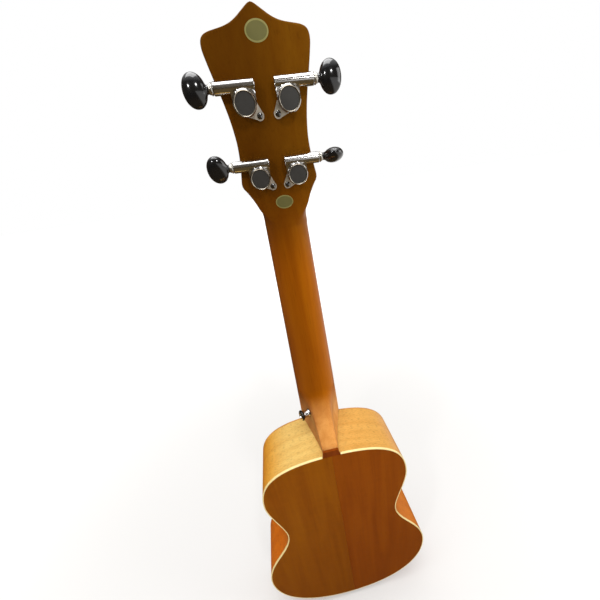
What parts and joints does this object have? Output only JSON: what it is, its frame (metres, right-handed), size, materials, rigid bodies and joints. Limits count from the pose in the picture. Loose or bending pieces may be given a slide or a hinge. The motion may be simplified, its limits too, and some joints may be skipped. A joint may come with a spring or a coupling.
{
  "type": "concert ukulele",
  "caption": "Small figure-eight wooden string instrument with a flat back, a long neck, a tilted head and geared tuners behind it.",
  "frame": {"origin": "under the middle of the box, at the height of the end pin's foot", "axes": "+Z along the neck towards the head, -Y out of the soundboard, +Y out of the back, +X to the treble side"},
  "size_m": [0.2048, 0.0757, 0.6283],
  "materials": {
    "top_wood": "satin, close-grained",
    "back_wood": "satin, amber brown, bookmatched",
    "side_wood": "satin, golden, mottled figure",
    "neck_wood": "satin, orange brown",
    "head_wood": "satin, dark amber",
    "inner_wood": "raw, unfinished",
    "dark_wood": "oiled, dark red brown",
    "cream_binding": "polished",
    "bone": "polished bone white",
    "chrome": "polished",
    "black_plastic": "high gloss",
    "string": "clear nylon, slightly milky"
  },
  "bodies": {
    "root": {"soundboard": "top_wood", "rosette": "dark_wood", "back_treble": "back_wood", "back_bass": "back_wood", "side_treble": "side_wood", "side_bass": "side_wood", "binding_back": "cream_binding", "lining_top": "inner_wood", "lining_back": "inner_wood", "neck_block": "inner_wood", "tail_block": "inner_wood", "top_brace_upper": "inner_wood", "top_brace_lower": "inner_wood", "back_brace_upper": "inner_wood", "back_brace_lower": "inner_wood", "bridge_plate": "inner_wood", "bridge": "dark_wood", "saddle": "bone", "neck": "neck_wood", "head_veneer": "head_wood", "heel_cap": "dark_wood", "fingerboard": "dark_wood", "nut": "bone", "strap_button": "chrome", "strap_screw": "chrome", "end_pin": "chrome", "housing_a": "chrome", "cover_a": "chrome", "bushing_a": "chrome", "tuner_screw_a": "chrome", "string_a": "string", "housing_e": "chrome", "cover_e": "chrome", "bushing_e": "chrome", "tuner_screw_e": "chrome", "string_e": "string", "housing_c": "chrome", "cover_c": "chrome", "bushing_c": "chrome", "tuner_screw_c": "chrome", "string_c": "string", "housing_g": "chrome", "cover_g": "chrome", "bushing_g": "chrome", "tuner_screw_g": "chrome", "string_g": "string"},
    "key_a": {"button_a": "black_plastic", "worm_a": "chrome"},
    "string_post_a": {"post_a": "chrome"},
    "key_e": {"button_e": "black_plastic", "worm_e": "chrome"},
    "string_post_e": {"post_e": "chrome"},
    "key_c": {"button_c": "black_plastic", "worm_c": "chrome"},
    "string_post_c": {"post_c": "chrome"},
    "key_g": {"button_g": "black_plastic", "worm_g": "chrome"},
    "string_post_g": {"post_g": "chrome"}
  },
  "joints": [
    {"name": "key_a_turn", "type": "hinge", "parent": "root", "child": "key_a", "pos_m": [0.0137, 0.00353, 0.54929], "axis": [1, 0, 0], "continuous": true},
    {"name": "string_post_a_turn", "type": "hinge", "parent": "root", "child": "string_post_a", "pos_m": [0.0137, -0.00306, 0.54244], "axis": [0, 0.972, -0.2351], "continuous": true},
    {"name": "key_e_turn", "type": "hinge", "parent": "root", "child": "key_e", "pos_m": [0.0138, 0.01345, 0.5903], "axis": [1, 0, 0], "continuous": true},
    {"name": "string_post_e_turn", "type": "hinge", "parent": "root", "child": "string_post_e", "pos_m": [0.0138, 0.00686, 0.58346], "axis": [0, 0.972, -0.2351], "continuous": true},
    {"name": "key_c_turn", "type": "hinge", "parent": "root", "child": "key_c", "pos_m": [-0.014, 0.01345, 0.5903], "axis": [1, 0, 0], "continuous": true},
    {"name": "string_post_c_turn", "type": "hinge", "parent": "root", "child": "string_post_c", "pos_m": [-0.014, 0.00686, 0.58346], "axis": [0, 0.972, -0.2351], "continuous": true},
    {"name": "key_g_turn", "type": "hinge", "parent": "root", "child": "key_g", "pos_m": [-0.0131, 0.00348, 0.54909], "axis": [1, 0, 0], "continuous": true},
    {"name": "string_post_g_turn", "type": "hinge", "parent": "root", "child": "string_post_g", "pos_m": [-0.0131, -0.00311, 0.54225], "axis": [0, 0.972, -0.2351], "continuous": true}
  ],
  "couplings": [
    {"joint": "string_post_a_turn", "follows": "key_a_turn", "ratio": -0.071429},
    {"joint": "string_post_e_turn", "follows": "key_e_turn", "ratio": -0.071429},
    {"joint": "string_post_c_turn", "follows": "key_c_turn", "ratio": 0.071429},
    {"joint": "string_post_g_turn", "follows": "key_g_turn", "ratio": 0.071429}
  ]
}
